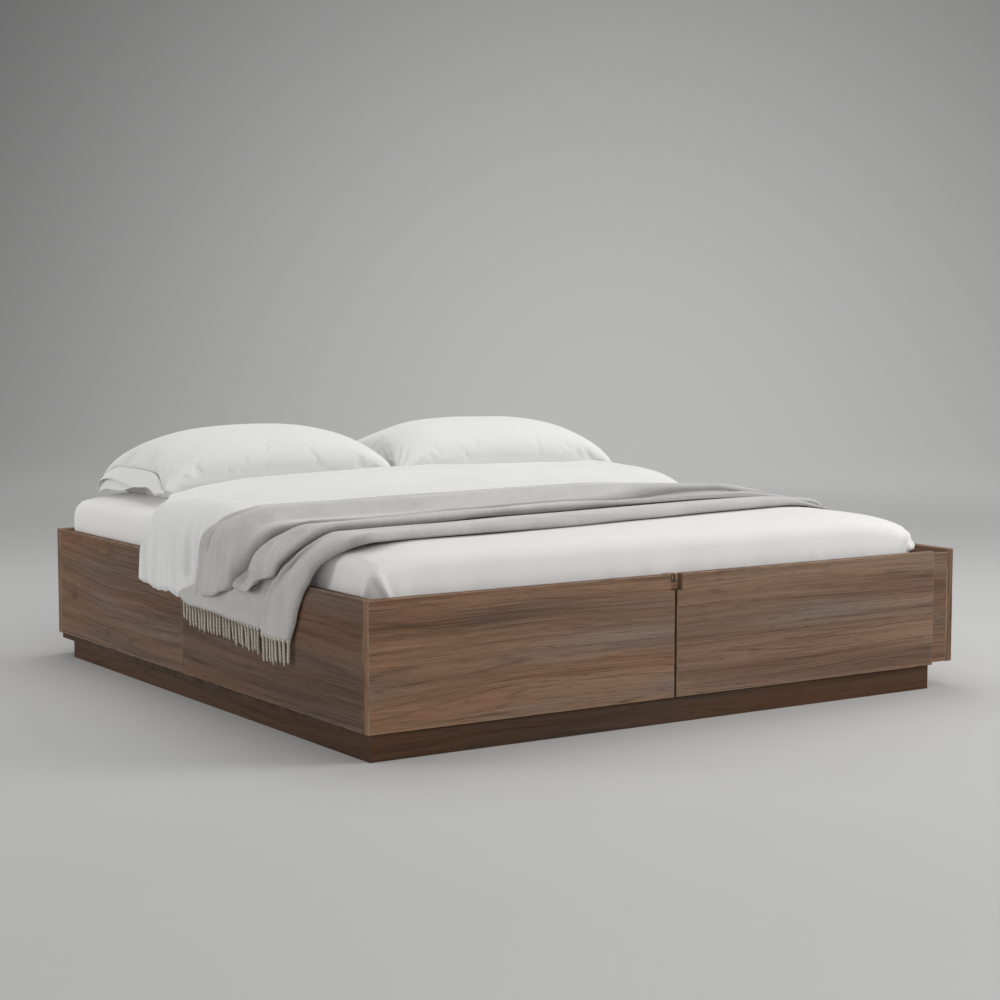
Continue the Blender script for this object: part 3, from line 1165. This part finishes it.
class BED_OT_throw(Operator):
    """Wool throw folded in three long bands across the bed, with a lower flap and a fringe over the left fronts."""

    bl_idname = "bed.throw"
    bl_label = "Throw"

    def execute(self, context):
        finish, sizes = context.scene.bed_finish, context.scene.bed_sizes
        material = wool("Brushed_wool_twill", tuple(finish.wool))
        yarn = wool("Twisted_wool_yarn", tuple(finish.yarn))
        cloth, tall, foot_hem = sizes.throw_cloth, sizes.fold_height / CREST, 0.268
        j = even_columns(0, COLUMNS, 0.011, foot_hem)
        y, rise, fold = foot_band(j, tall)
        pressed = pressed_hem(cloth, y.mean(1).argmin() - np.arange(len(y)))
        band = throw_layer("throw_foot_band", j, y, rise, fold, pressed, foot_hem, material)
        j, thin = even_columns(0, 8, 0.009, 0.292), cloth * 0.7
        y, rise, fold, slant = flap(j, thin)
        lower = throw_layer("throw_flap", j, y, rise, fold, thin, slant, material)
        j = even_columns(0, COLUMNS, 0.011, 0.36)
        y, rise, fold = upper_layer(j, tall)
        row, middle = np.arange(len(y)), y.mean(1)
        pressed = pressed_hem(cloth, np.maximum(row - middle.argmax(), middle.argmin() - row))
        slant = through(*UPPER_HEM, np.clip(y[:, :1], -0.56, -0.05))
        upper = throw_layer("throw_upper", j, y, rise, fold, pressed, slant, material)
        # the fringe hangs from the foot band's hem, past the 20 rows that are turned under, and from the flap's
        hem = band[2][20 : int(np.argmax(band[2][:, 0, 1])) + 1, 0]
        hem = hem[np.argsort(hem[:, 1])]
        foot_y, flap_y = (np.arange(a, b, -sizes.fringe_pitch) for a, b in ((-0.503, -0.648), (0.040, -0.470)))
        foot_x = np.interp(foot_y, hem[:, 1], hem[:, 0]) + cloth / 2
        foot_roots = place(foot_x, foot_y, foot_hem + 0.004)
        flap_roots = place(-HALF_W - 0.0060, flap_y, through(*FLAP_HEM, flap_y) + 0.003)
        fringe_foot, fringe_flap = (
            strands(f"throw_fringe_{part}", roots, -0.05, sizes.fringe, 0.0047, yarn)
            for part, roots in (("foot", foot_roots), ("flap", flap_roots))
        )
        pieces = band[0], lower[0], upper[0]
        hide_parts("throw")
        for piece in (*pieces, fringe_foot, fringe_flap):
            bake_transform(piece)
        return {"FINISHED"}


# The camera's place and turns, fitted to the photo's edges
VIEW_FROM = (-3.7354, -5.8641, 1.1992)
VIEW_TURN, VIEW_DOWN = math.radians(33.18), math.radians(5.286)

# Lamps: place, aim, size and power. A large key from the right and front, a wide soft box over the
# bed, and two weaker ones that open the foot and the left side
LAMPS = {
    "Key": ((4.8, -3.6, 3.1), (0.2, -0.4, 0.3), 3.2, 195),
    "Overhead": ((0.8, 1.3, 4.2), (0.3, 0.0, 0.3), 3.6, 60),
    "Front": ((-2.2, -6.7, 2.2), (-0.3, -0.6, 0.4), 2.6, 66),
    "Left": ((-5.6, 3.0, 1.3), (-1.0, -0.4, 0.5), 1.7, 96),
}


class BED_OT_stage(Operator):
    """Painted floor that sweeps up into a backdrop all round, soft lamps and the camera."""

    bl_idname = "bed.stage"
    bl_label = "Studio"

    def execute(self, context):
        scene = context.scene
        # bowl: radius and height along a profile, carried round a full turn
        flat, sweep, wall = 9.5, 4.0, 7.0
        t = np.linspace(0, 1, 40)
        turn = np.linspace(0, np.pi / 2, 24)[1:]
        radius = np.concatenate([flat * t, flat + sweep * np.sin(turn), [flat + sweep]])
        height = np.concatenate([0 * t, sweep * (1 - np.cos(turn)), [wall]]) - 0.0003
        a = np.linspace(0, 2 * np.pi, 96, endpoint=False)[None, :]
        r, h = radius[1:, None], height[1:, None]
        rings = place(r * np.cos(a), r * np.sin(a), h)
        rows, cols = rings.shape[:2]
        points = np.concatenate([rings.reshape(-1, 3), [[0, 0, -0.0003]]])
        faces = [quads(rows, cols, True)[:, ::-1], cap(rows * cols, 0, cols)[:, [0, 2, 1]]]
        paint = studio_paint("Painted_studio_sweep", tuple(scene.bed_finish.backdrop))
        add_mesh("studio_floor", points, faces, paint)
        world = bpy.data.worlds.new("Studio_sky")
        world.use_nodes = True
        sky = world.node_tree.nodes["Background"].inputs
        sky["Color"].default_value, sky["Strength"].default_value = (1, 1, 1, 1), 0.44
        scene.world = world
        for name, (spot, aim, size, power) in LAMPS.items():
            data = bpy.data.lights.new(name, "AREA")
            data.shape, data.size, data.energy = "SQUARE", size, power
            lamp = bpy.data.objects.new(name, data)
            x, y, z = (b - a for a, b in zip(spot, aim))
            lamp.location = spot
            lamp.rotation_euler = math.atan2(math.hypot(x, y), -z), 0, math.atan2(y, x) - math.pi / 2
            lamp.visible_camera = False
            scene.collection.objects.link(lamp)
        camera = bpy.data.objects.new("Camera", bpy.data.cameras.new("Camera"))
        camera.location = VIEW_FROM
        camera.rotation_euler = math.pi / 2 - VIEW_DOWN, 0, -VIEW_TURN
        camera.data.sensor_width, camera.data.lens, camera.data.clip_end = 36, 77.6, 60
        scene.collection.objects.link(camera)
        scene.camera = camera
        scene.view_settings.view_transform = "Standard"
        return {"FINISHED"}


class BED_PT_panel(Panel):
    """Sizes, colours and steps of the bed."""

    bl_idname = "BED_PT_panel"
    bl_label = "Storage bed"
    bl_space_type = "VIEW_3D"
    bl_region_type = "UI"
    bl_category = "Bed"

    def draw(self, context):
        for group in (context.scene.bed_finish, context.scene.bed_sizes):
            for key in group.__annotations__:
                self.layout.prop(group, key)
        for step in STEPS:
            self.layout.operator(step.bl_idname)


STEPS = (
    *(BED_OT_veneer, BED_OT_carcass, BED_OT_hardware, BED_OT_mattress),
    *(BED_OT_pillows, BED_OT_duvet, BED_OT_throw, BED_OT_stage),
)
CLASSES = (BedFinish, BedSizes, *STEPS, BED_PT_panel)


def register():
    for kind in CLASSES:
        bpy.utils.register_class(kind)
    bpy.types.Scene.bed_finish = PointerProperty(type=BedFinish)
    bpy.types.Scene.bed_sizes = PointerProperty(type=BedSizes)


def unregister():
    del bpy.types.Scene.bed_sizes
    del bpy.types.Scene.bed_finish
    for kind in reversed(CLASSES):
        bpy.utils.unregister_class(kind)


def main():
    """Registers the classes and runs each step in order."""
    register()
    bpy.ops.bed.veneer()
    bpy.ops.bed.carcass()
    bpy.ops.bed.hardware()
    bpy.ops.bed.mattress()
    bpy.ops.bed.pillows()
    bpy.ops.bed.duvet()
    bpy.ops.bed.throw()
    bpy.ops.bed.stage()


if __name__ == "__main__":
    main()
